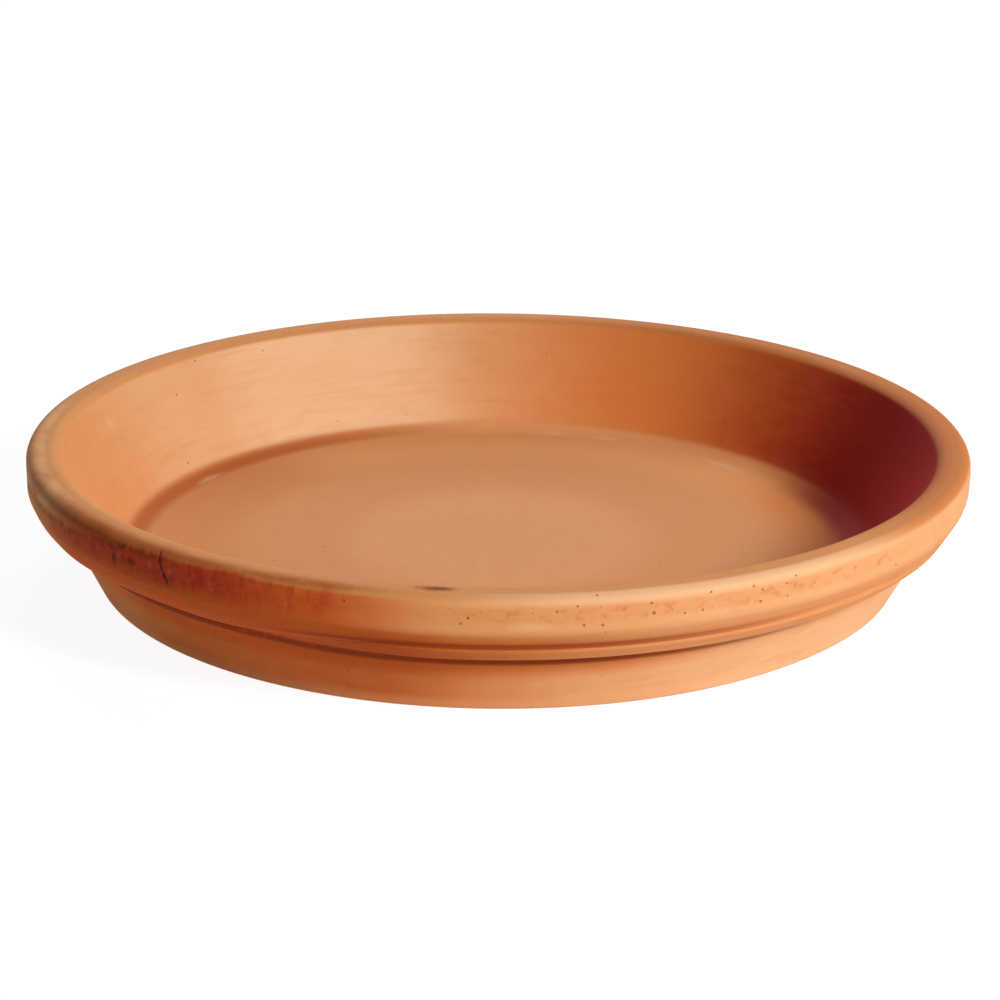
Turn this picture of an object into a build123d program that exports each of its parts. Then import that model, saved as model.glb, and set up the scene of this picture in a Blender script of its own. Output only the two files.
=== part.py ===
from build123d import *
import os
from math import atan2, cos, tan

# Plant saucer in unglazed terracotta, one fired body turned about Z.
# Millimetres, +Z up, origin at the centre of the underside, where it stands.

# Overall sizes
rim_diameter = 270.0
rim_height = 38.0
foot_diameter = 230.0

# Dish: the flared wall and the floor that a pot stands on
floor_height = 5.0
wall_thickness = 9.3
floor_cove_round = 6.0

# Foot: a flat ring round a shallow recess, so that the saucer stands without rocking
foot_ring_width = 12.0
foot_edge_bevel = 1.1
recess_depth = 0.8
recess_slope_width = 2.4

# Collar: the thick band round the rim, with a broad flat lip
collar_height = 9.4
collar_foot_round = 2.6
collar_bevel = 2.2
collar_bevel_round = 2.2
lip_width = 8.8
lip_inner_round = 2.8

# Groove: the crease where the collar's underside meets the bead
groove_depth = 3.2
groove_drop = 4.7

# Bead: a narrow roll under the groove, whose face leans in towards its foot
bead_crown_setback = 3.2
bead_crown_drop = 1.5
bead_crown_round = 1.1
bead_face_height = 3.3
bead_face_lean = 3.2
bead_foot_round = 0.9

# Throat: the hollow under the bead, where the plain wall begins
throat_overhang = 4.6
throat_slope_height = 1.2
throat_round = 1.8

# Levels and radii of the profile, worked down and in from the rim
rim_radius = rim_diameter / 2
foot_radius = foot_diameter / 2
collar_foot_level = rim_height - collar_height
groove_level = collar_foot_level - groove_drop
bead_crown_radius = rim_radius - bead_crown_setback
bead_crown_level = groove_level - bead_crown_drop
bead_foot_radius = bead_crown_radius - bead_face_lean
bead_foot_level = bead_crown_level - bead_face_height
throat_radius = bead_foot_radius - throat_overhang
throat_level = bead_foot_level - throat_slope_height
recess_radius = foot_radius - foot_ring_width

# The wall flares from foot to throat, and its inner face is one wall thickness inside
wall_flare = atan2(throat_radius - foot_radius, throat_level)
floor_radius = foot_radius + floor_height * tan(wall_flare) - wall_thickness / cos(wall_flare)

# Section of the clay as corners, each with the radius that rounds it
foot = [
    ((0, recess_depth), 0),
    ((recess_radius - recess_slope_width, recess_depth), 0),
    ((recess_radius, 0), 0),
    ((foot_radius - foot_edge_bevel, 0), 0),
    ((foot_radius + foot_edge_bevel * tan(wall_flare), foot_edge_bevel), 0),
]
throat_and_bead = [
    ((throat_radius, throat_level), throat_round),
    ((bead_foot_radius, bead_foot_level), bead_foot_round),
    ((bead_crown_radius, bead_crown_level), bead_crown_round),
    ((rim_radius - groove_depth, groove_level), 0),
]
collar = [
    ((rim_radius, collar_foot_level), collar_foot_round),
    ((rim_radius, rim_height - collar_bevel), collar_bevel_round),
    ((rim_radius - collar_bevel, rim_height), collar_bevel_round),
    ((rim_radius - lip_width, rim_height), lip_inner_round),
]
dish = [
    ((floor_radius, floor_height), floor_cove_round),
    ((0, floor_height), 0),
]
section = foot + throat_and_bead + collar + dish

# The section turned once round the wheel's axis
with BuildPart() as saucer:
    with BuildSketch(Plane.XZ):
        with BuildLine():
            FilletPolyline(
                *[corner for corner, _ in section],
                radius=[rounding for _, rounding in section],
                close=True,
            )
        make_face()
    revolve(axis=Axis.Z)
saucer.part.label = "saucer"

os.makedirs("parts", exist_ok=True)
export_step(saucer.part, "parts/saucer.step")
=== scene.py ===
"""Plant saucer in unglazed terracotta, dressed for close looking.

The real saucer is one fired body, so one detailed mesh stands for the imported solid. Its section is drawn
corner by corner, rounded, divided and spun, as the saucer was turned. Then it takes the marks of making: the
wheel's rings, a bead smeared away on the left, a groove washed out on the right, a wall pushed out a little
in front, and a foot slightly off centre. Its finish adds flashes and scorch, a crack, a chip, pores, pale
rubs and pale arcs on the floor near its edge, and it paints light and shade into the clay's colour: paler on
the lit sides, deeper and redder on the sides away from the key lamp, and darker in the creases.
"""

import logging
import math
from dataclasses import dataclass, field
from enum import Enum
from typing import Callable, Mapping, Optional, Sequence, Union

import bpy
import numpy as np
from mathutils import Matrix, Vector


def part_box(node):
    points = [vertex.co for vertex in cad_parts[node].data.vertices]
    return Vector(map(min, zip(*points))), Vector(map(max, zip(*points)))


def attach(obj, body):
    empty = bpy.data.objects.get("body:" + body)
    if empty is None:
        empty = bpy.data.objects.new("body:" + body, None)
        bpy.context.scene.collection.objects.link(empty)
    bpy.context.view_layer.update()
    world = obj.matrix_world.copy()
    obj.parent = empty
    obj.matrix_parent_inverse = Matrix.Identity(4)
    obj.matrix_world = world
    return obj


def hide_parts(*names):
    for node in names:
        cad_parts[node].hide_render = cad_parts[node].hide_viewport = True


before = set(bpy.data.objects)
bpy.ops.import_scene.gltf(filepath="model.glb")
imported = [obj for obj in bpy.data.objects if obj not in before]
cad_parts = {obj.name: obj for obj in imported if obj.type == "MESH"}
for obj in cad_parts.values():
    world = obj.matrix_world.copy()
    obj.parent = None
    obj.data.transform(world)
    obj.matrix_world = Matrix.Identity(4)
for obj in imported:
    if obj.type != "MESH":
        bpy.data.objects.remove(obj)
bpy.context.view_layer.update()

MM = 0.001
NODE = "saucer"
BODY = "root"
WHITE = (1.0, 1.0, 1.0)

log = logging.getLogger("saucer")

Colour = tuple[float, float, float]


def tone(red: int, green: int, blue: int) -> Colour:
    """Turns a colour as a paint chart gives it, 0 to 255, into the linear colour that a shader takes.

    Args:
        red: Red, from 0 to 255.
        green: Green, from 0 to 255.
        blue: Blue, from 0 to 255.

    Returns:
        The same colour in linear light, from 0 to 1.
    """
    steps = (channel / 255 for channel in (red, green, blue))
    return tuple(s / 12.92 if s <= 0.04045 else ((s + 0.055) / 1.055) ** 2.4 for s in steps)


def smooth(value: np.ndarray, low: float, high: float) -> np.ndarray:
    """Rises smoothly from 0 at low to 1 at high.

    Args:
        value: Numbers to grade.
        low: Where the rise starts. It may lie above high, and the result then falls.
        high: Where the rise ends.

    Returns:
        The grade of each number, from 0 to 1.
    """
    share = np.clip((value - low) / (high - low), 0, 1)
    return share * share * (3 - 2 * share)


@dataclass(frozen=True)
class Corner:
    """One corner of the section that is spun.

    Attributes:
        radius: Distance from the axis.
        level: Height above the ground.
        rounding: Radius of the arc that rounds the corner, or 0 where it stays sharp.
        step: Length of the faces on the straight run that leads on to the next corner.
    """

    radius: float
    level: float
    rounding: float
    step: float

    @property
    def place(self) -> Vector:
        """The corner as a point on the XZ plane."""
        return Vector((self.radius, 0, self.level))


class Clay:
    """The spun mesh opened out into arrays, so that marks can be pressed into it."""

    def __init__(self, piece: bpy.types.Object) -> None:
        """Reads the piece's vertices.

        Args:
            piece: The spun mesh, turned about Z.
        """
        self.piece = piece
        places = np.empty(len(piece.data.vertices) * 3, np.float32)
        piece.data.vertices.foreach_get("co", places)
        x, y, self.level = places.reshape(-1, 3).astype(float).T
        self.radius = np.hypot(x, y)
        self.angle = np.arctan2(y, x)

    def towards(self, degrees: float, width: float, soft: float) -> np.ndarray:
        """Marks the stretch of the round that faces one way.

        Args:
            degrees: Direction of the middle of the stretch, from +X.
            width: Degrees from the middle to the ends.
            soft: Degrees over which it fades at each end.

        Returns:
            1 inside the stretch and 0 outside it, for each vertex.
        """
        away = np.degrees(np.arccos(np.clip(np.cos(self.angle - math.radians(degrees)), -1, 1)))
        return smooth(away, width + soft / 2, width - soft / 2)

    def lean(self, shift: float, height: float, limit: float) -> None:
        """Leans the body so that its foot stands off centre under the rim.

        Args:
            shift: How far the foot moves towards -X.
            height: Level that stays where it is.
            limit: Radius that nothing may pass.
        """
        x = self.radius * np.cos(self.angle) + shift * (self.level / height - 1)
        y = self.radius * np.sin(self.angle)
        self.radius = np.minimum(np.hypot(x, y), limit)
        self.angle = np.arctan2(y, x)

    def close(self) -> None:
        """Writes the places back to the mesh."""
        x, y = self.radius * np.cos(self.angle), self.radius * np.sin(self.angle)
        places = np.stack((x, y, self.level), axis=1).astype(np.float32)
        self.piece.data.vertices.foreach_set("co", places.ravel())
        self.piece.data.update()


@dataclass
class Foot:
    """The ring that the saucer stands on, with a shallow recess inside it, and the foot of the wall."""

    radius: float = 115.0 * MM
    ring_width: float = 12.0 * MM
    edge_round: float = 1.6 * MM
    recess_depth: float = 0.8 * MM
    recess_slope: float = 2.4 * MM
    recess_round: float = 1.5 * MM
    recess_step: float = 7.0 * MM
    ring_step: float = 3.0 * MM
    wall_step: float = 0.9 * MM

    def corners(self) -> list[Corner]:
        """Gives the section from the middle of the underside to the foot of the wall.

        Returns:
            The corners in order.
        """
        ring = self.radius - self.ring_width
        return [
            Corner(0, self.recess_depth, 0, self.recess_step),
            Corner(ring - self.recess_slope, self.recess_depth, self.recess_round, self.recess_slope),
            Corner(ring, 0, self.recess_round, self.ring_step),
            Corner(self.radius, 0, self.edge_round, self.wall_step),
        ]


@dataclass
class Collar:
    """The thick band round the rim, with its broad flat lip."""

    radius: float
    height: float
    face_height: float = 9.4 * MM
    foot_round: float = 2.6 * MM
    top_round: float = 3.2 * MM
    lip_width: float = 8.8 * MM
    lip_round: float = 3.6 * MM
    face_step: float = 0.6 * MM
    lip_step: float = 0.7 * MM
    inner_step: float = 1.0 * MM

    @property
    def foot_level(self) -> float:
        """Level of the lower edge of the collar's face."""
        return self.height - self.face_height

    def corners(self) -> list[Corner]:
        """Gives the section of the collar's face and lip.

        Returns:
            The corners in order, from the collar's lower edge to the inner edge of the lip.
        """
        return [
            Corner(self.radius, self.foot_level, self.foot_round, self.face_step),
            Corner(self.radius, self.height, self.top_round, self.lip_step),
            Corner(self.radius - self.lip_width, self.height, self.lip_round, self.inner_step),
        ]


@dataclass
class Bead:
    """The narrow roll under the collar, the groove above it and the throat below it.

    On the left the turner's rib slipped: there the bead is smeared away, and the collar's underside runs
    down to one step above the plain wall. On the right the groove is washed out.
    """

    collar: Collar
    foot: Foot
    groove_depth: float = 3.2 * MM
    groove_drop: float = 4.7 * MM
    groove_round: float = 0.5 * MM
    crown_drop: float = 1.5 * MM
    crown_round: float = 1.5 * MM
    face_height: float = 3.3 * MM
    face_lean: float = 3.2 * MM
    foot_round: float = 0.9 * MM
    overhang: float = 4.6 * MM
    throat_rise: float = 1.2 * MM
    throat_round: float = 1.8 * MM
    throat_step: float = 0.8 * MM
    face_step: float = 0.5 * MM
    wall_depth: float = 4.0 * MM
    smear_middle: float = -174.0
    smear_width: float = 64.0
    smear_soft: float = 30.0
    smear_step: float = 3.9 * MM
    smear_drop: float = 1.0 * MM
    smear_wave: float = 0.7 * MM
    smear_waves: float = 10.6
    smear_crest: float = -118.0
    smear_path: tuple[tuple[float, float, float], ...] = (
        (0.27, -0.7, -2.4),
        (0.5, 0.0, -1.0),
        (0.6, 1.1, -0.6),
        (0.66, 4.1, -0.4),
        (0.74, 5.6, 0.5),
        (0.86, 7.9, 3.2),
    )
    wash_middle: float = 2.0
    wash_width: float = 40.0
    wash_soft: float = 22.0
    wash_margin: float = 0.8 * MM
    wash_foot: float = 1.6 * MM
    wash_rim: float = 0.3 * MM

    @property
    def groove_level(self) -> float:
        """Level of the bottom of the groove."""
        return self.collar.foot_level - self.groove_drop

    @property
    def throat(self) -> tuple[float, float]:
        """Radius and level where the plain wall ends under the bead."""
        radius = self.collar.radius - self.groove_depth - self.face_lean - self.overhang
        level = self.groove_level - self.crown_drop - self.face_height - self.throat_rise
        return radius, level

    @property
    def wall_run(self) -> float:
        """How far the outer wall leans out for each unit that it rises."""
        radius, level = self.throat
        return (radius - self.foot.radius) / level

    def corners(self) -> list[Corner]:
        """Gives the section of the throat, bead and groove.

        Returns:
            The corners in order, from the top of the plain wall to the groove.
        """
        throat_radius, throat_level = self.throat
        bead_radius = throat_radius + self.overhang
        bead_level = throat_level + self.throat_rise
        crown_radius = bead_radius + self.face_lean
        groove_radius = self.collar.radius - self.groove_depth
        return [
            Corner(throat_radius, throat_level, self.throat_round, self.throat_step),
            Corner(bead_radius, bead_level, self.foot_round, self.face_step),
            Corner(crown_radius, bead_level + self.face_height, self.crown_round, self.face_step),
            Corner(groove_radius, self.groove_level, self.groove_round, self.face_step),
        ]

    def smear(self, clay: Clay) -> None:
        """Drags the bead into the wall where the rib slipped, so that the collar hangs over one plain step.

        The smeared section is a path from the throat to the collar's lower edge: the share of the way, and
        the millimetres out from the wall and up from the step.

        Args:
            clay: The spun mesh, before the body leans.
        """
        throat_radius, throat_level = self.throat
        foot_level = self.collar.foot_level
        span = self.collar.radius - throat_radius + foot_level - throat_level
        share = (clay.radius - throat_radius + clay.level - throat_level) / span
        step = throat_level + self.smear_step
        wall = throat_radius + self.wall_run * (self.smear_step - self.smear_drop)
        rows = [(0, throat_radius, throat_level)]
        rows += [(way, wall + out * MM, step + up * MM) for way, out, up in self.smear_path]
        rows += [(1, self.collar.radius, foot_level)]
        shares, radii, levels = zip(*rows)
        outside = clay.radius > self.foot.radius + self.wall_run * clay.level - self.wall_depth
        held = outside * (share > 0) * (share < 1)
        held = held * clay.towards(self.smear_middle, self.smear_width, self.smear_soft)
        wave = np.cos((clay.angle - math.radians(self.smear_crest)) * self.smear_waves) / 2 + 0.5
        dip = self.smear_wave * wave * np.sin(np.pi * np.clip(share, 0, 1))
        clay.radius += held * (np.interp(share, shares, radii) - clay.radius)
        clay.level += held * (np.interp(share, shares, levels) - dip - clay.level)

    def wash(self, clay: Clay) -> None:
        """Washes the groove out on the right, where a wet hand ran under the collar.

        Args:
            clay: The spun mesh, before the body leans.
        """
        throat_radius, throat_level = self.throat
        low = throat_level + self.throat_rise + self.wash_margin
        high = self.collar.foot_level - self.wash_margin
        inner = throat_radius + self.overhang + self.wash_foot
        outer = self.collar.radius - self.wash_rim
        held = (clay.radius > inner) * (clay.level > low) * (clay.level < high)
        held = held * clay.towards(self.wash_middle, self.wash_width, self.wash_soft)
        chord = np.interp(clay.level, (low, high), (inner, outer))
        clay.radius += held * np.maximum(chord - clay.radius, 0)


@dataclass
class Dish:
    """The inside of the saucer: its flared wall, the cove at its foot and the flat floor."""

    foot: Foot
    bead: Bead
    floor_level: float = 5.0 * MM
    wall_thickness: float = 9.3 * MM
    cove_round: float = 9.5 * MM
    floor_step: float = 3.0 * MM
    ring_depth: float = 0.028 * MM
    ring_spacing: float = 2.9 * MM
    floor_ring_depth: float = 0.03 * MM
    floor_ring_spacing: float = 6.5 * MM

    @property
    def floor_radius(self) -> float:
        """Radius of the corner between the floor and the wall, before it is rounded."""
        run = self.bead.wall_run
        return self.foot.radius + self.floor_level * run - self.wall_thickness * math.hypot(1, run)

    def corners(self) -> list[Corner]:
        """Gives the section from the foot of the inner wall to the middle of the floor.

        Returns:
            The corners in order.
        """
        return [
            Corner(self.floor_radius, self.floor_level, self.cove_round, self.floor_step),
            Corner(0, self.floor_level, 0, self.floor_step),
        ]

    def turn(self, clay: Clay) -> None:
        """Leaves the faint rings of the wheel on the inner wall and on the floor.

        Two sets of rings cross on the wall, and each drifts as it goes round, so that none looks machined.

        Args:
            clay: The spun mesh, before the body leans.
        """
        collar = self.bead.collar
        low, high = self.floor_level + self.cove_round, collar.height - collar.lip_round
        middle = self.floor_radius + self.bead.wall_run * clay.level + self.wall_thickness / 2
        wall = (clay.radius < middle) * smooth(clay.level, low, low + self.cove_round)
        wall *= smooth(clay.level, high, high - collar.lip_round)
        turn = math.tau * clay.level / self.ring_spacing
        wave = np.sin(turn + 0.8 * np.sin(clay.angle))
        wave = wave + 0.6 * np.sin(1.73 * turn + 1.1 * np.cos(clay.angle + 1))
        clay.radius += wall * self.ring_depth * wave
        on_floor = smooth(clay.radius, self.floor_radius, 0.8 * self.floor_radius)
        on_floor = on_floor * (np.abs(clay.level - self.floor_level) < MM)
        wave = np.sin(math.tau * clay.radius / self.floor_ring_spacing + 0.6 * np.sin(clay.angle))
        clay.level += on_floor * self.floor_ring_depth * (wave - 1)


@dataclass
class Saucer:
    """The whole fired body: its section, the spin that turns it, and its marks."""

    foot: Foot
    collar: Collar
    bead: Bead
    dish: Dish
    bulge: float = 1.0 * MM
    bulge_middle: float = -20.0
    bulge_width: float = 16.0
    bulge_soft: float = 30.0
    bulge_over: float = 2.0 * MM
    bulge_under: float = 1.0 * MM
    slices: int = 16
    slice_steps: int = 30
    arc_faces: int = 6
    lean: float = 0.945 * MM
    merge: float = 0.001 * MM
    smooth_angle: float = 60.0

    def section(self) -> list[Corner]:
        """Gives the section of the clay from pole to pole.

        Returns:
            The corners in order, from the middle of the underside to the middle of the floor.
        """
        return self.foot.corners() + self.bead.corners() + self.collar.corners() + self.dish.corners()

    def build(self) -> bpy.types.Object:
        """Turns the saucer and presses its marks into it.

        Returns:
            The finished mesh object, at the origin.
        """
        piece = self.draw(self.section())
        self.round_corners(piece, self.section())
        self.divide_runs(piece, self.section())
        self.spin(piece)
        clay = Clay(piece)
        self.dish.turn(clay)
        self.bead.smear(clay)
        self.bead.wash(clay)
        self.push(clay)
        clay.lean(self.lean, self.collar.height, self.collar.radius)
        clay.close()
        bpy.ops.object.shade_smooth_by_angle(angle=math.radians(self.smooth_angle))
        return piece

    def draw(self, corners: Sequence[Corner]) -> bpy.types.Object:
        """Draws the section as a chain of edges, from a plane drawn down to one vertex.

        Args:
            corners: The section's corners in order.

        Returns:
            The chain, on the XZ plane.
        """
        bpy.ops.object.select_all(action="DESELECT")
        bpy.ops.mesh.primitive_plane_add(size=MM)
        piece = bpy.context.object
        piece.name = "saucer_body"
        piece.data.name = "saucer_body"
        bpy.ops.object.mode_set(mode="EDIT")
        bpy.ops.mesh.merge(type="CENTER")
        bpy.ops.transform.translate(value=corners[0].place)
        for start, end in zip(corners, corners[1:]):
            bpy.ops.mesh.extrude_vertices_move(TRANSFORM_OT_translate={"value": end.place - start.place})
        bpy.ops.object.mode_set(mode="OBJECT")
        return piece

    def choose(self, piece: bpy.types.Object, test: Callable[[Vector], bool]) -> None:
        """Selects vertices by their place and leaves the piece in edit mode.

        Args:
            piece: The piece that is edited.
            test: Says of a place whether the vertex there is taken.
        """
        bpy.ops.object.mode_set(mode="EDIT")
        bpy.ops.mesh.select_all(action="DESELECT")
        bpy.ops.object.mode_set(mode="OBJECT")
        for vertex in piece.data.vertices:
            vertex.select = test(vertex.co)
        bpy.ops.object.mode_set(mode="EDIT")

    def round_corners(self, piece: bpy.types.Object, corners: Sequence[Corner]) -> None:
        """Rounds each corner of the chain with an arc that touches the runs on both sides.

        Args:
            piece: The chain of edges.
            corners: The section's corners in order.
        """
        for before, corner, after in zip(corners, corners[1:], corners[2:]):
            if not corner.rounding:
                continue
            turn = (corner.place - before.place).angle(after.place - corner.place)
            self.choose(piece, lambda place: (place - corner.place).length < self.merge)
            bpy.ops.mesh.bevel(
                offset=corner.rounding * math.tan(turn / 2),
                offset_type="OFFSET",
                segments=max(2, round(self.arc_faces * turn / (math.pi / 2)) + 1),
                affect="VERTICES",
            )
            bpy.ops.object.mode_set(mode="OBJECT")

    def divide_runs(self, piece: bpy.types.Object, corners: Sequence[Corner]) -> None:
        """Divides the straight runs of the chain into faces of each run's own length.

        Args:
            piece: The chain of edges, with rounded corners.
            corners: The section's corners in order.
        """
        for start, end in zip(corners, corners[1:]):
            run = end.place - start.place
            on_run = [
                vertex.co.copy()
                for vertex in piece.data.vertices
                if (vertex.co - start.place).cross(run).length < self.merge * run.length
                and -self.merge < (vertex.co - start.place).dot(run) / run.length < run.length + self.merge
            ]
            length = (on_run[0] - on_run[-1]).length
            cuts = round(length / start.step) - 1
            if len(on_run) != 2 or cuts < 1:
                continue
            self.choose(piece, lambda place: any((place - spot).length < self.merge for spot in on_run))
            bpy.ops.mesh.subdivide(number_cuts=cuts)
            bpy.ops.object.mode_set(mode="OBJECT")

    def spin(self, piece: bpy.types.Object) -> None:
        """Spins one slice, copies it round the axis, closes seams and poles and turns the faces outwards.

        Args:
            piece: The chain of edges.
        """
        slice_turn = math.tau / self.slices
        bpy.ops.object.mode_set(mode="EDIT")
        bpy.ops.mesh.select_all(action="SELECT")
        bpy.ops.mesh.spin(steps=self.slice_steps, angle=slice_turn, center=(0, 0, 0), axis=(0, 0, 1))
        bpy.ops.mesh.select_all(action="SELECT")
        bpy.ops.mesh.spin(
            steps=self.slices - 1,
            dupli=True,
            angle=math.tau - slice_turn,
            center=(0, 0, 0),
            axis=(0, 0, 1),
        )
        bpy.ops.mesh.select_all(action="SELECT")
        bpy.ops.mesh.remove_doubles(threshold=self.merge)
        bpy.ops.mesh.normals_make_consistent(inside=False)
        bpy.ops.object.mode_set(mode="OBJECT")

    def push(self, clay: Clay) -> None:
        """Pushes the wall out a little on one side, where it was handled while it was soft.

        Args:
            clay: The spun mesh, before the body leans.
        """
        throat_radius, throat_level = self.bead.throat
        outside = clay.radius > self.foot.radius + self.bead.wall_run * clay.level - self.bead.wall_depth
        under = smooth(clay.level, throat_level + self.bulge_over, throat_level - self.bulge_under)
        held = clay.towards(self.bulge_middle, self.bulge_width, self.bulge_soft)
        clay.radius += self.bulge * outside * under * held

    def dress(self, piece: bpy.types.Object, finish: "Terracotta") -> None:
        """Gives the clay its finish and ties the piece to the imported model.

        Args:
            piece: The finished mesh.
            finish: How the clay looks.
        """
        piece.data.materials.append(finish.material(self))
        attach(piece, BODY)
        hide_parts(NODE)
        log.info("%s: %d faces", piece.name, len(piece.data.polygons))


Feed = Union["Value", bpy.types.NodeSocket, float, Sequence[float]]
Feeds = Mapping[Union[str, int], Feed]


class Value:
    """A number that varies over the surface: a socket that takes Python's operators."""

    def __init__(self, shader: "Shader", socket: bpy.types.NodeSocket) -> None:
        """Wraps one output socket of a shader's node."""
        self.shader = shader
        self.socket = socket

    def __add__(self, other: Feed) -> "Value":
        """Adds."""
        return self.shader.maths("ADD", self, other)

    def __sub__(self, other: Feed) -> "Value":
        """Takes away."""
        return self.shader.maths("SUBTRACT", self, other)

    def __rsub__(self, other: Feed) -> "Value":
        """Takes this value away from a number."""
        return self.shader.maths("SUBTRACT", other, self)

    def __mul__(self, other: Feed) -> "Value":
        """Multiplies."""
        return self.shader.maths("MULTIPLY", self, other)

    def __truediv__(self, other: Feed) -> "Value":
        """Divides."""
        return self.shader.maths("DIVIDE", self, other)

    def __rtruediv__(self, other: Feed) -> "Value":
        """Divides a number by this value."""
        return self.shader.maths("DIVIDE", other, self)

    def __abs__(self) -> "Value":
        """Drops the sign."""
        return self.shader.maths("ABSOLUTE", self)

    __radd__ = __add__
    __rmul__ = __mul__


class Shader:
    """A material's node tree, with one method that adds any node."""

    def __init__(self, name: str, world: Optional[bpy.types.World] = None) -> None:
        """Starts an empty tree.

        Args:
            name: The material's name.
            world: The world whose tree it is, where it isn't a new material's.
        """
        self.material = world or bpy.data.materials.new(name)
        self.material.use_nodes = True
        self.tree = self.material.node_tree
        self.tree.nodes.clear()

    def feed(self, socket: bpy.types.NodeSocket, source: Feed) -> None:
        """Sets a socket to a constant, or links it to what varies.

        Args:
            socket: The input socket.
            source: The constant, or the value or output socket that is linked to it.
        """
        if isinstance(source, Value):
            source = source.socket
        if isinstance(source, bpy.types.NodeSocket):
            self.tree.links.new(source, socket)
        elif socket.type == "RGBA" and len(source) == 3:
            socket.default_value = (*source, 1)
        else:
            socket.default_value = source

    def node(self, kind: str, feeds: Feeds = {}, **settings: object) -> bpy.types.Node:
        """Adds a node.

        Args:
            kind: The node's type, without its ShaderNode prefix.
            feeds: Constants or links for its input sockets, by name or number.
            **settings: The node's own properties, which are set first.

        Returns:
            The new node.
        """
        node = self.tree.nodes.new("ShaderNode" + kind)
        for name, value in settings.items():
            setattr(node, name, value)
        for name, source in feeds.items():
            self.feed(node.inputs[name], source)
        return node

    def maths(self, operation: str, *terms: Feed) -> Value:
        """Adds a Math node."""
        return Value(self, self.node("Math", dict(enumerate(terms)), operation=operation).outputs[0])

    def fade(self, value: Value, low: float, high: float) -> Value:
        """Rises smoothly from 0 at low to 1 at high, or falls where low lies above high.

        Args:
            value: What is graded.
            low: Where the grade is 0.
            high: Where the grade is 1.

        Returns:
            The grade, from 0 to 1.
        """
        first, last, start, end = (low, high, 0, 1) if low < high else (high, low, 1, 0)
        feeds = {"Value": value, "From Min": first, "From Max": last, "To Min": start, "To Max": end}
        node = self.node("MapRange", feeds, interpolation_type="SMOOTHSTEP")
        return Value(self, node.outputs["Result"])

    def band(self, value: Value, middle: float, width: float, soft: float) -> Value:
        """Marks the values within width of the middle, and fades over soft beyond it."""
        return self.fade(abs(value - middle), width + soft, width)

    def mix(self, share: Feed, under: Feed, over: Feed) -> Value:
        """Lays one colour over another."""
        return Value(self, self.node("Mix", {0: share, 6: under, 7: over}, data_type="RGBA").outputs[2])

    def coat(self, colour: Feed, *coats: tuple[Value, Colour]) -> Value:
        """Lays colours over one another in order.

        Args:
            colour: What they are laid on.
            *coats: How much of each shows, from 0 to 1, and its colour.

        Returns:
            The colour with all of them on it.
        """
        for share, over in coats:
            colour = self.mix(share, colour, over)
        return colour

    def noise(self, place: Feed, scale: float, detail: float, roughness: float) -> Value:
        """Adds even noise between 0 and 1, with scale in waves per metre."""
        feeds = {"Vector": place, "Scale": scale, "Detail": detail, "Roughness": roughness}
        return Value(self, self.node("TexNoise", feeds).outputs[0])


@dataclass(frozen=True)
class Mark:
    """A place on the saucer's round where the clay is marked.

    Attributes:
        angle: Direction of the place, in degrees from +X.
        height: Its level above the ground, or its radius where it lies on the floor or the lip.
        length: Half its length along the round.
        width: Half its width across the round.
    """

    angle: float
    height: float
    length: float
    width: float


class Stretch(Enum):
    """Stretches of the round: degrees of the middle from +X, from there to each end, and of the fade."""

    # Painted light: paler where the key lamp falls, on the inner wall at the back and left and the outer
    # wall at the front right.
    BLOOM_CREST = (117, 3, 22)
    BLOOM_BACK = (122, 10, 50)
    BLOOM_LEFT = (180, 15, 32)
    BLOOM_FRONT = (-30, 26, 50)
    # Where the painted shade under the bead's overhang is held back, at the lit front right.
    PALE_FRONT = (-36, 16, 26)
    # Painted highlight along the lip's outer edge at the front.
    PALE_EDGE = (-66, 10, 22)
    # Painted shade on the inner wall at the back right, which faces away from the key lamp.
    FLASHED_WALL = (26, 28, 52)
    FLASHED_LIP = (20, 46, 50)
    # Painted shade on the outer side on the left.
    FLASHED_LEFT = (-130, 20, 34)
    FLASHED_FRONT = (-94, 10, 26)
    # Painted shade on the floor's right end.
    FLASHED_FLOOR = (-6, 16, 34)
    # Painted shade, a deeper orange, on the outer wall, collar and bead on the left.
    DEEP_WALL = (-118, 10, 20)
    DEEP_COLLAR = (-128, 10, 26)
    DEEP_BEAD = (-108, 12, 26)
    DUSTY_FOOT = (-120, 34, 24)
    # Pale dust on the collar's far left, which is also painted light on that dim end.
    DUSTY_COLLAR = (-170, 8, 18)
    STAINED = (-68, 20, 16)
    # Painted shade, deep red, on the inner wall's right end, darkest at its foot.
    EMBER = (0, 18, 48)
    WINE = (-2, 11, 26)
    # Painted shade at the floor's left edge and painted light at its back edge.
    TAN_FLOOR = (168, 18, 30)
    STRAW_FLOOR = (78, 34, 30)
    BROWN_LIP = (20, 40, 30)
    # Painted shade in the creases under the collar and in the floor's corner.
    DIRTY_CREASES = (-118, 22, 56)
    DIRTY_BEAD = (-118, 14, 26)
    DIRTY_CORNER = (160, 30, 40)
    SCORCH_CORE = (-129, 8, 12)
    SCORCH = (-130, 14, 14)
    # Browns the outer part of the lip on the left.
    SCORCH_BRINK = (-132, 18, 18)
    LOW_SKIN = (-175, 5, 42)
    SKIN_EDGE = (-150, 14, 12)
    CRACK = (-128.6, 8, 2)
    PITTED = (-77, 16, 12)


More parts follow.
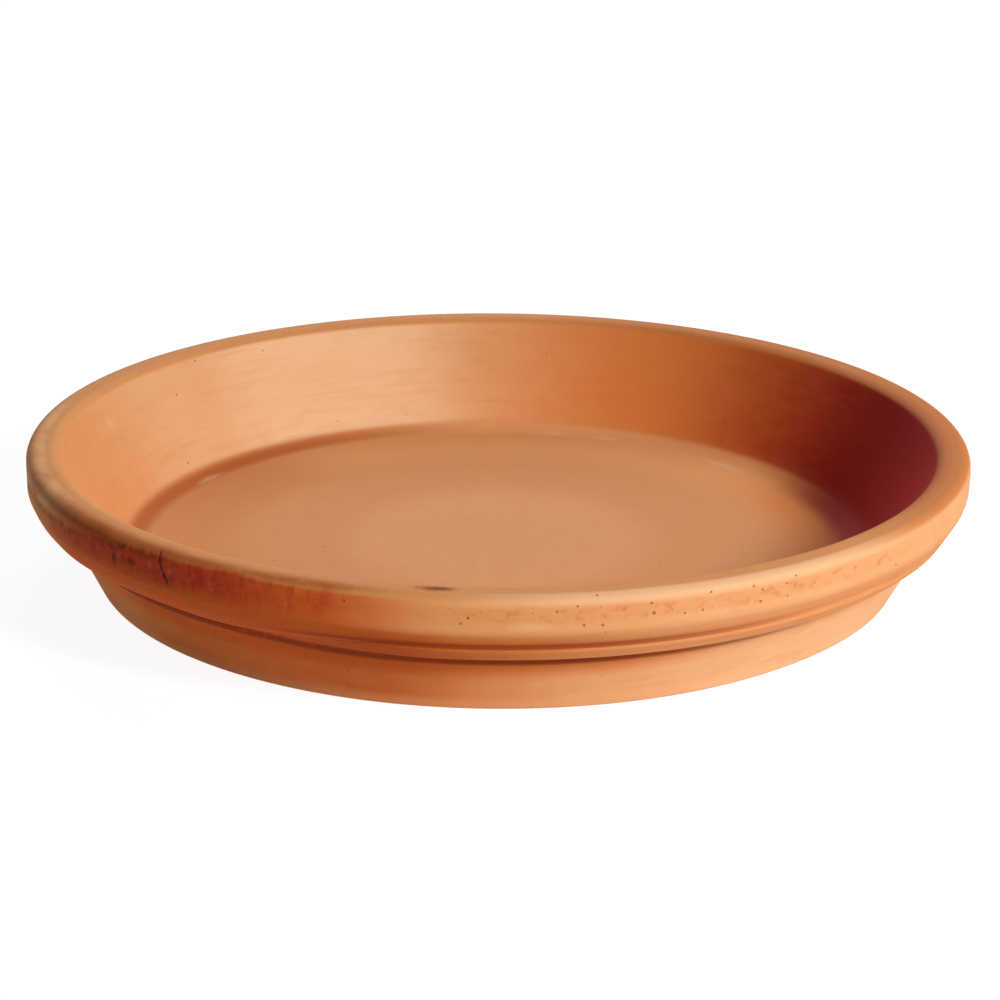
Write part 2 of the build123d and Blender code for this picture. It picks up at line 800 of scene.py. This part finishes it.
class Surface:
    """Where a point of the clay lies on the saucer, as a shader reads it."""

    def __init__(self, shader: Shader, saucer: Saucer) -> None:
        """Works out the zones of the saucer.

        Args:
            shader: The material's shader.
            saucer: The saucer, for the places of its edges and creases.
        """
        self.shader = shader
        self.saucer = saucer
        self.place = shader.node("TexCoord").outputs["Object"]
        parts = shader.node("SeparateXYZ", {0: self.place}).outputs
        self.x, self.y, self.level = (Value(shader, part) for part in parts)
        self.radius = shader.maths("SQRT", self.x * self.x + self.y * self.y)
        foot, collar, dish = saucer.foot, saucer.collar, saucer.dish
        depth = self.radius - foot.radius - self.level * saucer.bead.wall_run
        self.outside = shader.fade(depth, -5 * MM, -4 * MM)
        self.inside = 1 - self.outside
        self.floor = shader.band(self.level, dish.floor_level, 1.2 * MM, 2 * MM) * self.inside
        face = shader.fade(self.level, collar.foot_level - 2 * MM, collar.foot_level)
        self.collar_face = face * self.outside
        self.lip = shader.fade(self.level, collar.height - 2 * MM, collar.height - 0.7 * MM)
        self.wall = self.inside * (1 - self.lip) * (1 - self.floor)
        self.side = self.outside * (1 - self.lip)
        under = self.side * (1 - self.collar_face)
        self.plain = under * shader.fade(self.level, 20 * MM, 17.5 * MM)
        self.roll = (self.side - self.plain) * (1 - self.collar_face)
        self.mottle = self.grain(150, 2.0)
        self.speckle = self.grain(700, 1.0, 2.0)

    def around(self, stretch: Stretch) -> Value:
        """Marks a named stretch of the round."""
        return self.facing(*stretch.value)

    def facing(self, degrees: float, width: float, soft: float) -> Value:
        """Marks the stretch of the round that faces one way.

        Args:
            degrees: Direction of the middle of the stretch, from +X.
            width: Degrees from the middle to the ends.
            soft: Degrees over which it fades beyond its ends.

        Returns:
            1 inside the stretch and 0 outside it.
        """
        turn = math.radians(degrees)
        cosine = (self.x * math.cos(turn) + self.y * math.sin(turn)) / self.radius
        end = math.cos(math.radians(min(width + soft, 180)))
        return self.shader.fade(cosine, end, math.cos(math.radians(width)))

    def grain(self, scale: float, stretch: float, detail: float = 3.0, roughness: float = 0.6) -> Value:
        """Adds noise that follows the round.

        Args:
            scale: Waves per metre across the round.
            stretch: How many times longer a wave is along the round.
            detail: How many finer layers the noise has.
            roughness: How strong each finer layer is.

        Returns:
            The noise, between 0 and 1.
        """
        reach = self.saucer.collar.radius / stretch
        rolled = {
            0: self.x / self.radius * reach,
            1: self.y / self.radius * reach,
            2: self.radius + self.level,
        }
        place = self.shader.node("CombineXYZ", rolled).outputs[0]
        return self.shader.noise(place, scale, detail, roughness)

    def patch(self, mark: Mark, flat: bool, ragged: float, soft: float) -> Value:
        """Marks an oval patch.

        Args:
            mark: Where the patch lies.
            flat: Whether it lies on the floor or the lip.
            ragged: How far noise moves its edge, as a share of its size.
            soft: How soft its edge is, as a share of its size.

        Returns:
            1 inside the patch and 0 outside it.
        """
        turn = math.radians(mark.angle)
        along = self.y * math.cos(turn) - self.x * math.sin(turn)
        across = (self.radius if flat else self.level) - mark.height
        near = self.shader.fade(self.x * math.cos(turn) + self.y * math.sin(turn), 0, 1 * MM)
        u, v = along / mark.length, across / mark.width
        away = self.shader.maths("SQRT", u * u + v * v)
        away = away + (self.grain(2.2 / mark.width, 1.6, 3.0, 0.55) - 0.5) * ragged
        return self.shader.fade(away, 1 + soft / 2, 1 - soft / 2) * near


@dataclass(frozen=True)
class Terracotta:
    """Unglazed clay, fired orange, with flashes, scorches, pores, rubs, and painted light and shade."""

    body: Colour = tone(226, 153, 93)
    # Painted light on the lit sides, and the painted highlight along the lip's front edge.
    bloom: Colour = tone(245, 195, 150)
    # Painted light at the floor's back edge.
    straw: Colour = tone(248, 170, 108)
    # Red flash, and painted shade on the sides away from the key lamp.
    flash: Colour = tone(229, 130, 60)
    # Deep reds: painted shade on the inner wall's right end; the wine red also colours the scorch's runs.
    ember: Colour = tone(178, 42, 28)
    wine: Colour = tone(164, 22, 20)
    # Painted shade on the outer side on the left.
    deep: Colour = tone(206, 94, 34)
    umber: Colour = tone(176, 86, 32)
    scorch: Colour = tone(194, 68, 34)
    char: Colour = tone(88, 34, 16)
    tan: Colour = tone(200, 122, 62)
    dusk: Colour = tone(238, 168, 122)
    dust: Colour = tone(232, 170, 116)
    chalk: Colour = tone(244, 206, 160)
    # Painted shade in the creases and the pores.
    crease: Colour = tone(150, 58, 14)
    roughness: float = 0.74
    roughness_spread: float = 0.2
    gloss: float = 0.1
    grain_depth: float = 0.05 * MM
    streak_depth: float = 0.05 * MM
    pit_depth: float = 0.5 * MM
    pit_spacing: float = 2.2 * MM
    pit_radius: float = 0.22 * MM
    pit_chance: float = 0.96
    deep_pits: tuple[tuple[float, float, float], ...] = (
        (-93.0, 32.6, 0.32),
        (-81.0, 30.5, 0.26),
        (-79.0, 30.2, 0.3),
        (-73.5, 32.3, 0.34),
        (-73.8, 34.9, 0.26),
        (-61.0, 31.2, 0.26),
    )
    stain_level: float = 33 * MM
    crack_angle: float = -128.6
    crack_drop: float = 4.6 * MM
    crack_reach: float = 2.4 * MM
    burns: tuple[Mark, ...] = (
        Mark(-137, 31.8 * MM, 0.9 * MM, 1.3 * MM),
        Mark(-134, 32.6 * MM, 1.6 * MM, 0.9 * MM),
    )
    # Pale arcs on the floor near its edge.
    floor_rubs: tuple[Mark, ...] = (
        Mark(70.5, 103.2 * MM, 4 * MM, 0.7 * MM),
        Mark(80, 103.6 * MM, 3 * MM, 0.6 * MM),
        Mark(45, 100.4 * MM, 6.5 * MM, 1.1 * MM),
        Mark(150, 104.2 * MM, 5 * MM, 0.9 * MM),
    )
    collar_rub: Mark = Mark(-86.8, 30.4 * MM, 4.2 * MM, 1.0 * MM)
    wall_rub: Mark = Mark(165, 29.5 * MM, 1.6 * MM, 1.6 * MM)
    chip: Mark = Mark(-96.8, 129.9 * MM, 4.6 * MM, 1.7 * MM)
    chip_core: Mark = Mark(-96.4, 129.8 * MM, 3.2 * MM, 1.0 * MM)

    def material(self, saucer: Saucer) -> bpy.types.Material:
        """Builds the clay's material.

        Args:
            saucer: The saucer, for the places of its creases and edges.

        Returns:
            The material.
        """
        shader = Shader("terracotta")
        surface = Surface(shader, saucer)
        pits = self.pits(surface)
        crack = self.crack(surface)
        colour = self.fired(surface)
        for wear in (self.stained, self.shaded, self.creased, self.scorched, self.rubbed):
            colour = wear(surface, colour)
        # The pores take the painted crease shade, standing in for the shade inside them; the crack is
        # darkened with char.
        colour = shader.coat(colour, (pits * 0.42, self.crease), (crack * 0.85, self.char))
        fine = surface.grain(1500, 1.0)
        streaks = surface.grain(700, 14.0, 3.0, 0.55)
        height = fine * self.grain_depth + streaks * self.streak_depth
        height = height - (pits + crack) * self.pit_depth
        bump = shader.node("Bump", {"Strength": 1.0, "Distance": 1.0, "Height": height})
        feeds = {
            "Base Color": colour,
            "Roughness": self.roughness - self.roughness_spread / 2 + fine * self.roughness_spread,
            "Normal": bump.outputs[0],
            "Specular IOR Level": self.gloss,
        }
        clay = shader.node("BsdfPrincipled", feeds)
        shader.node("OutputMaterial", {"Surface": clay.outputs[0]})
        return shader.material

    def fired(self, surface: Surface) -> Value:
        """Colours the clay: painted light on the lit sides, and painted shade, deep and red, on the others.

        Args:
            surface: Where a point of the clay lies.

        Returns:
            The colour of the fired clay.
        """
        shader, around = surface.shader, surface.around
        clouds = surface.grain(26, 1.6, 3.0, 0.5)
        streaks = surface.grain(420, 16.0)
        # Painted light: the inner wall at the back and left and the outer wall at the front right, which
        # face the key lamp, are made paler, with cloudy variation.
        bloom = around(Stretch.BLOOM_CREST) * 0.42 + around(Stretch.BLOOM_BACK) * 0.46
        bloom = surface.wall * (bloom + around(Stretch.BLOOM_LEFT) * 0.12)
        bloom = bloom + surface.side * around(Stretch.BLOOM_FRONT) * (0.3 + surface.plain * 0.28)
        bloom = bloom * (0.75 + clouds * 0.5) + (clouds - 0.5) * 0.25
        # Painted shade: the top of the plain outer wall, under the bead's overhang, is redder and deeper,
        # except at the lit front right.
        upper = surface.plain * (1 - around(Stretch.PALE_FRONT) * 0.6)
        # Red tint: painted shade on the inner wall at the back right and on the outer side on the left, away
        # from the key lamp; the lip on the right, the front of the wall and the bead band are redder too.
        flash = surface.wall * around(Stretch.FLASHED_WALL) * 0.78
        flash = flash + surface.lip * around(Stretch.FLASHED_LIP) * 0.3
        flash = flash + surface.side * around(Stretch.FLASHED_LEFT) * (0.45 - surface.collar_face * 0.2)
        flash = flash + surface.plain * around(Stretch.FLASHED_FRONT) * 0.15
        flash = flash + surface.roll * 0.35 + upper * shader.fade(surface.level, 9 * MM, 15 * MM) * 0.5
        # Painted shade: the outer wall, collar and bead on the left, away from the key lamp, are a deeper
        # orange.
        deep = surface.plain * around(Stretch.DEEP_WALL) * 0.6
        deep = deep + (surface.side - surface.plain) * around(Stretch.DEEP_COLLAR)
        deep = deep + surface.roll * around(Stretch.DEEP_BEAD) * 0.4
        deep = deep + upper * shader.fade(surface.level, 10 * MM, 15 * MM) * 0.3
        return shader.coat(
            self.body,
            (shader.fade(bloom, 0.0, 1.0), self.bloom),
            (shader.fade(streaks, 0.45, 0.8) * 0.22, self.flash),
            (shader.fade(surface.mottle, 0.45, 0.85) * (0.3 - surface.wall * 0.15), self.tan),
            (shader.fade(surface.speckle, 0.5, 0.9) * 0.15, self.chalk),
            (surface.floor * 0.45, self.dusk),
            (shader.fade(flash * (0.8 + surface.mottle * 0.4), 0, 1), self.flash),
            (shader.fade(deep * (0.7 + surface.mottle * 0.6), 0, 1), self.deep),
        )

    def stained(self, surface: Surface, colour: Value) -> Value:
        """Dusts the foot, stains the collar's face, and paints a highlight along the lip's outer edge.

        Args:
            surface: Where a point of the clay lies.
            colour: The clay's colour so far.

        Returns:
            The colour with the stains and the painted highlight on it.
        """
        shader, around, collar = surface.shader, surface.around, surface.saucer.collar
        foot = surface.plain * shader.fade(surface.level, 5 * MM, 1 * MM) * around(Stretch.DUSTY_FOOT)
        # Painted highlight: a pale band along the lip's outer rounding at the front, where the key lamp
        # catches it.
        edge = shader.band(surface.radius, collar.radius - 1.1 * MM, 1.0 * MM, 1.4 * MM)
        edge = edge * around(Stretch.PALE_EDGE)
        edge = edge * shader.fade(surface.level, collar.height - 3.2 * MM, collar.height - 1.2 * MM)
        stain = shader.band(surface.level, self.stain_level, 0.8 * MM, 1.8 * MM)
        stain = stain * around(Stretch.STAINED) * surface.outside
        blots = shader.fade(surface.grain(420, 1.6, 4.0, 0.65), 0.48, 0.68)
        return shader.coat(
            colour,
            (foot * 0.5, self.dust),
            (surface.lip * 0.12, self.tan),
            (edge * 0.7, self.bloom),
            (stain * (0.15 + blots * 0.45), self.tan),
            (stain * blots * shader.fade(surface.speckle, 0.5, 0.7) * 0.4, self.umber),
        )

    def shaded(self, surface: Surface, colour: Value) -> Value:
        """Browns the floor's middle ring and the lip on the right, and paints shade and light round the
        inside.

        Args:
            surface: Where a point of the clay lies.
            colour: The clay's colour so far.

        Returns:
            The colour with the browns and the painted shade and light on it.
        """
        shader, around, lip = surface.shader, surface.around, surface.lip
        ring = shader.band(surface.radius, 66 * MM, 12 * MM, 20 * MM)
        rim = surface.floor * shader.fade(surface.radius, 68 * MM, 90 * MM)
        # Painted shade: the floor's right end, beside the shaded wall, is laid orange.
        orange = surface.inside * (1 - lip) * around(Stretch.FLASHED_FLOOR)
        orange = orange * shader.fade(surface.radius, 74 * MM, 96 * MM)
        # Painted shade: the darkest red, where the right end of the inner wall meets the floor.
        wine = surface.inside * (1 - lip * 0.8) * around(Stretch.WINE)
        return shader.coat(
            colour,
            # Painted shade: the right end of the inner wall, which faces away from the key lamp, is deep
            # red.
            (surface.wall * around(Stretch.EMBER) * (0.67 + surface.mottle * 0.4), self.ember),
            (surface.floor * ring * 0.3, self.tan),
            # Painted shade at the floor's edge on the left, and painted light at its edge at the back.
            (rim * around(Stretch.TAN_FLOOR) * 0.5, self.tan),
            (rim * around(Stretch.STRAW_FLOOR) * 0.5, self.straw),
            (orange * surface.floor * 0.85, self.flash),
            (lip * around(Stretch.BROWN_LIP) * 0.4, self.umber),
            (wine * shader.fade(surface.radius, 95 * MM, 104 * MM), self.wine),
        )

    def creased(self, surface: Surface, colour: Value) -> Value:
        """Paints shade into the groove, the collar's underside, the bead, the throat and the floor's corner.

        Args:
            surface: Where a point of the clay lies.
            colour: The clay's colour so far.

        Returns:
            The colour with shade painted into its creases.
        """
        shader, level, around = surface.shader, surface.level, surface.around
        bead, dish = surface.saucer.bead, surface.saucer.dish
        _, throat_level = bead.throat
        smeared = surface.facing(bead.smear_middle, 50, 20)
        washed = surface.facing(bead.wash_middle, bead.wash_width, bead.wash_soft)
        # Painted shade under the collar, in the groove, on the bead and in the throat, stronger on the left,
        # away from the key lamp.
        deep = around(Stretch.DIRTY_CREASES) * 0.7 + 0.3
        under = shader.fade(level, 28 * MM, 24 * MM) * shader.fade(level, 22.8 * MM, 23.4 * MM) * 0.45
        groove = shader.band(level, bead.groove_level - 0.3 * MM, 0.3 * MM, 1.4 * MM)
        groove = groove * 0.4 * (1 - washed)
        roll = shader.band(level, bead.groove_level - 3.2 * MM, 1.2 * MM, 1.4 * MM)
        roll = roll * around(Stretch.DIRTY_BEAD) * 0.4
        throat = shader.band(level, throat_level - 1.0 * MM, 0.7 * MM, 1.7 * MM) * 0.95
        step = shader.band(level, throat_level - 0.2 * MM, 0.7 * MM, 1.4 * MM)
        lines = (under + groove + roll + throat) * (1 - smeared) + step * smeared
        lines = lines * deep * surface.outside
        # Painted shade in the corner between the floor and the wall, strongest at the back left.
        corner = shader.band(surface.radius, dish.floor_radius - 1.0 * MM, 0.8 * MM, 4.0 * MM)
        corner = corner * surface.inside * shader.fade(level, 9 * MM, 6 * MM)
        corner = corner * (0.1 + around(Stretch.DIRTY_CORNER) * 0.7)
        return shader.coat(colour, (shader.fade(lines, 0, 1), self.crease), (corner, self.umber))

    def scorched(self, surface: Surface, colour: Value) -> Value:
        """Scorches the left of the collar under a ragged edge of paler skin.

        Args:
            surface: Where a point of the clay lies.
            colour: The clay's colour so far.

        Returns:
            The colour with the scorch on it.
        """
        shader, around, collar = surface.shader, surface.around, surface.saucer.collar
        blotches = surface.grain(190, 2.4, 4.0, 0.62)
        flecks = surface.grain(560, 1.2)
        runs = surface.grain(110, 0.3)
        level = surface.level + (surface.grain(120, 2.0, 3.0, 0.55) - 0.5) * 4 * MM
        edge = collar.height - 0.9 * MM - around(Stretch.LOW_SKIN) * 5 * MM
        top = shader.fade(level - edge, 0.8 * MM, -1.2 * MM)
        low = shader.fade(level, collar.foot_level - 1 * MM, collar.foot_level + 4 * MM)
        core = around(Stretch.SCORCH_CORE) * surface.outside
        wide = around(Stretch.SCORCH) * surface.outside
        # Browns the outer part of the lip on the left, above the skin's edge.
        brink = shader.fade(surface.radius, collar.radius - 7 * MM, collar.radius - 1.8 * MM)
        brink = brink * (1 - top) * around(Stretch.SCORCH_BRINK) * (0.4 + blotches * 0.7)
        # Pale dust on the collar's far left, partly painted light where that end gets too little light.
        dusty = around(Stretch.DUSTY_COLLAR) * (1 - top) * (1 - surface.inside)
        skin = shader.band(level - edge, -0.6 * MM, 0.2 * MM, 1.2 * MM) * around(Stretch.SKIN_EDGE)
        colour = shader.coat(
            colour,
            (shader.fade(brink, 0, 1), self.umber),
            (shader.fade(core * low * top * (0.4 + blotches), 0, 1), self.scorch),
            (wide * low * top * shader.fade(blotches, 0.4, 0.7) * 0.8, self.scorch),
            (wide * low * top * shader.fade(runs, 0.46, 0.66) * 0.45, self.wine),
            (core * low * top * shader.fade(flecks, 0.48, 0.7) * 0.3, self.char),
            (wide * shader.fade(flecks, 0.45, 0.25) * 0.3, self.flash),
            (dusty * shader.fade(blotches, 0.75, 0.35), self.dust),
            (skin * surface.outside * shader.fade(flecks, 0.3, 0.6) * 0.5, self.char),
        )
        for burn in self.burns:
            share = surface.patch(burn, False, 1.6, 1.2) * surface.outside * 0.7
            colour = shader.mix(share, colour, self.char)
        return colour

    def rubbed(self, surface: Surface, colour: Value) -> Value:
        """Lays pale arcs on the floor's edge and pale rubs where the collar was scraped, and chips the lip.

        Args:
            surface: Where a point of the clay lies.
            colour: The clay's colour so far.

        Returns:
            The colour with the rubs and the chip on it.
        """
        shader = surface.shader
        # Pale arcs on the floor near its edge.
        for mark in self.floor_rubs:
            share = surface.patch(mark, True, 3.4, 1.4) * 0.32 * surface.inside
            colour = shader.mix(share, colour, self.chalk)
        for mark, face in ((self.collar_rub, surface.outside), (self.wall_rub, surface.inside)):
            colour = shader.mix(surface.patch(mark, False, 3.0, 1.8) * face * 0.2, colour, self.chalk)
        chip = surface.patch(self.chip, True, 2.2, 1.4) * surface.lip
        core = surface.patch(self.chip_core, True, 2.6, 1.0) * surface.lip
        return shader.coat(colour, (chip * 0.7, self.umber), (core * 0.7, self.char))

    def crack(self, surface: Surface) -> Value:
        """Runs a short crack, leaning a little, down the scorched stretch of the collar.

        Args:
            surface: Where a point of the clay lies.

        Returns:
            1 in the crack and 0 beside it.
        """
        shader, collar = surface.shader, surface.saucer.collar
        turn = math.radians(self.crack_angle)
        along = surface.y * math.cos(turn) - surface.x * math.sin(turn)
        across = surface.level - (collar.height - self.crack_drop)
        wander = (surface.grain(150, 0.2, 2.0, 0.55) - 0.5) * 3.0 * MM
        line = shader.band(along + across * 0.5 + wander, -0.7 * MM, 0.15 * MM, 0.6 * MM)
        line = line * shader.band(across, 0, self.crack_reach, self.crack_reach)
        return line * surface.outside * surface.around(Stretch.CRACK)

    def pits(self, surface: Surface) -> Value:
        """Opens the pores where grit pulled out of the collar's face.

        Args:
            surface: Where a point of the clay lies.

        Returns:
            1 in a pore and 0 beside it.
        """
        shader, collar = surface.shader, surface.saucer.collar
        feeds = {"Vector": surface.place, "Scale": 1 / self.pit_spacing, "Randomness": 1.0}
        cells = shader.node("TexVoronoi", feeds)
        chance = Value(shader, shader.node("SeparateColor", {0: cells.outputs["Color"]}).outputs[0])
        size = self.pit_radius / self.pit_spacing
        hole = shader.fade(Value(shader, cells.outputs["Distance"]), 1.6 * size, 0.8 * size)
        stretch = shader.band(surface.level, collar.height - 4 * MM, 1.8 * MM, 2 * MM)
        stretch = stretch * surface.around(Stretch.PITTED) * surface.outside
        holes = hole * shader.fade(chance + stretch * 0.5, self.pit_chance, 1.0)
        for angle, level, radius in self.deep_pits:
            place = Mark(angle, level * MM, radius * MM, radius * MM)
            holes = holes + surface.patch(place, False, 1.2, 0.9) * surface.outside
        return shader.maths("MINIMUM", holes, 1.0)


@dataclass
class Camera:
    """The camera at the photograph's view."""

    aim: Vector = field(default_factory=lambda: Vector((0.48 * MM, 0, 16.89 * MM)))
    distance: float = 781.58 * MM
    elevation: float = 18.861
    roll: float = 0.5
    lens: float = 96.434
    sensor: float = 36.0

    def build(self) -> None:
        """Makes the camera and gives it to the scene."""
        tilt = math.radians(self.elevation)
        away = Vector((0, -math.cos(tilt), math.sin(tilt))) * self.distance
        data = bpy.data.cameras.new("camera")
        data.lens = self.lens
        data.sensor_width = self.sensor
        data.clip_start = 10 * MM
        camera = bpy.data.objects.new("camera", data)
        bpy.context.collection.objects.link(camera)
        turn = away.to_track_quat("Z", "Y").to_matrix().to_4x4()
        turn = turn @ Matrix.Rotation(math.radians(self.roll), 4, "Z")
        camera.matrix_world = Matrix.Translation(self.aim + away) @ turn
        bpy.context.scene.camera = camera
        log.info("camera: %.0f mm from the saucer", self.distance / MM)


class Lamp(Enum):
    """The studio's lamps: degrees round from +X and up, distance and width in metres, and watts."""

    KEY = (-45.0, 31.0, 1.6, 0.4, 22.8)
    BACK = (95.0, 34.0, 1.6, 0.9, 12.0)

    def build(self) -> None:
        """Hangs the lamp so that it faces the saucer."""
        azimuth, elevation, distance, width, watts = self.value
        side, lift = math.radians(azimuth), math.radians(elevation)
        away = Vector((math.cos(side) * math.cos(lift), math.sin(side) * math.cos(lift), math.sin(lift)))
        data = bpy.data.lights.new(f"{self.name.lower()}_lamp", "AREA")
        data.shape = "DISK"
        data.size = width
        data.energy = watts
        lamp = bpy.data.objects.new(data.name, data)
        bpy.context.collection.objects.link(lamp)
        turn = away.to_track_quat("Z", "Y").to_matrix().to_4x4()
        lamp.matrix_world = Matrix.Translation(away * distance) @ turn
        log.info("%s: %.0f W", data.name, watts)


@dataclass
class Studio:
    """A plain pale floor, soft lamps and a white surround."""

    floor_size: float = 8.0
    floor_colour: Colour = (0.8, 0.8, 0.8)
    floor_glow: float = 1.15
    glow_share: float = 0.8
    under_glow: float = 0.2
    surround_strength: float = 0.02

    def build(self) -> None:
        """Lays the floor, hangs the lamps and lights the surround."""
        self.lay_floor()
        self.light_surround()
        for lamp in Lamp:
            lamp.build()

    def seen(self, shader: Shader) -> Value:
        """Marks the rays that show a surface, straight or in a gloss, and not those that light another.

        Args:
            shader: The shader that the rays meet.

        Returns:
            1 for a ray that shows the surface and 0 for others.
        """
        path = shader.node("LightPath").outputs
        camera, glossy = Value(shader, path["Is Camera Ray"]), Value(shader, path["Is Glossy Ray"])
        return camera + glossy + Value(shader, path["Is Transmission Ray"])

    def lay_floor(self) -> None:
        """Lays the floor that the saucer stands on: near white to the eye, with the saucer's shadow kept."""
        bpy.ops.object.select_all(action="DESELECT")
        bpy.ops.mesh.primitive_plane_add(size=self.floor_size)
        floor = bpy.context.object
        floor.name = "floor"
        shader = Shader("pale_floor")
        matt = shader.node("BsdfPrincipled", {"Base Color": self.floor_colour, "Roughness": 0.9})
        glow = shader.node("Emission", {"Strength": self.floor_glow})
        share = self.seen(shader) * (self.glow_share - self.under_glow) + self.under_glow
        mixed = shader.node("MixShader", {0: share, 1: matt.outputs[0], 2: glow.outputs[0]})
        shader.node("OutputMaterial", {"Surface": mixed.outputs[0]})
        floor.data.materials.append(shader.material)

    def light_surround(self) -> None:
        """Lights the saucer faintly and evenly from all round, and shows plain white."""
        world = bpy.data.worlds.new("surround")
        shader = Shader("surround", world)
        dim = shader.node("Background", {"Color": WHITE, "Strength": self.surround_strength})
        white = shader.node("Background", {"Color": WHITE, "Strength": 1.0})
        mixed = shader.node("MixShader", {0: self.seen(shader), 1: dim.outputs[0], 2: white.outputs[0]})
        shader.node("OutputWorld", {"Surface": mixed.outputs[0]})
        bpy.context.scene.world = world


def main() -> None:
    """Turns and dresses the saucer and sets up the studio."""
    logging.basicConfig(level=logging.INFO, format="%(name)s: %(message)s")
    _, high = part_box(NODE)
    foot = Foot()
    collar = Collar(radius=high.x, height=high.z)
    bead = Bead(collar, foot)
    saucer = Saucer(foot, collar, bead, Dish(foot, bead))
    piece = saucer.build()
    saucer.dress(piece, Terracotta())
    Studio().build()
    Camera().build()
    bpy.context.scene.view_settings.view_transform = "Standard"


if __name__ == "__main__":
    main()
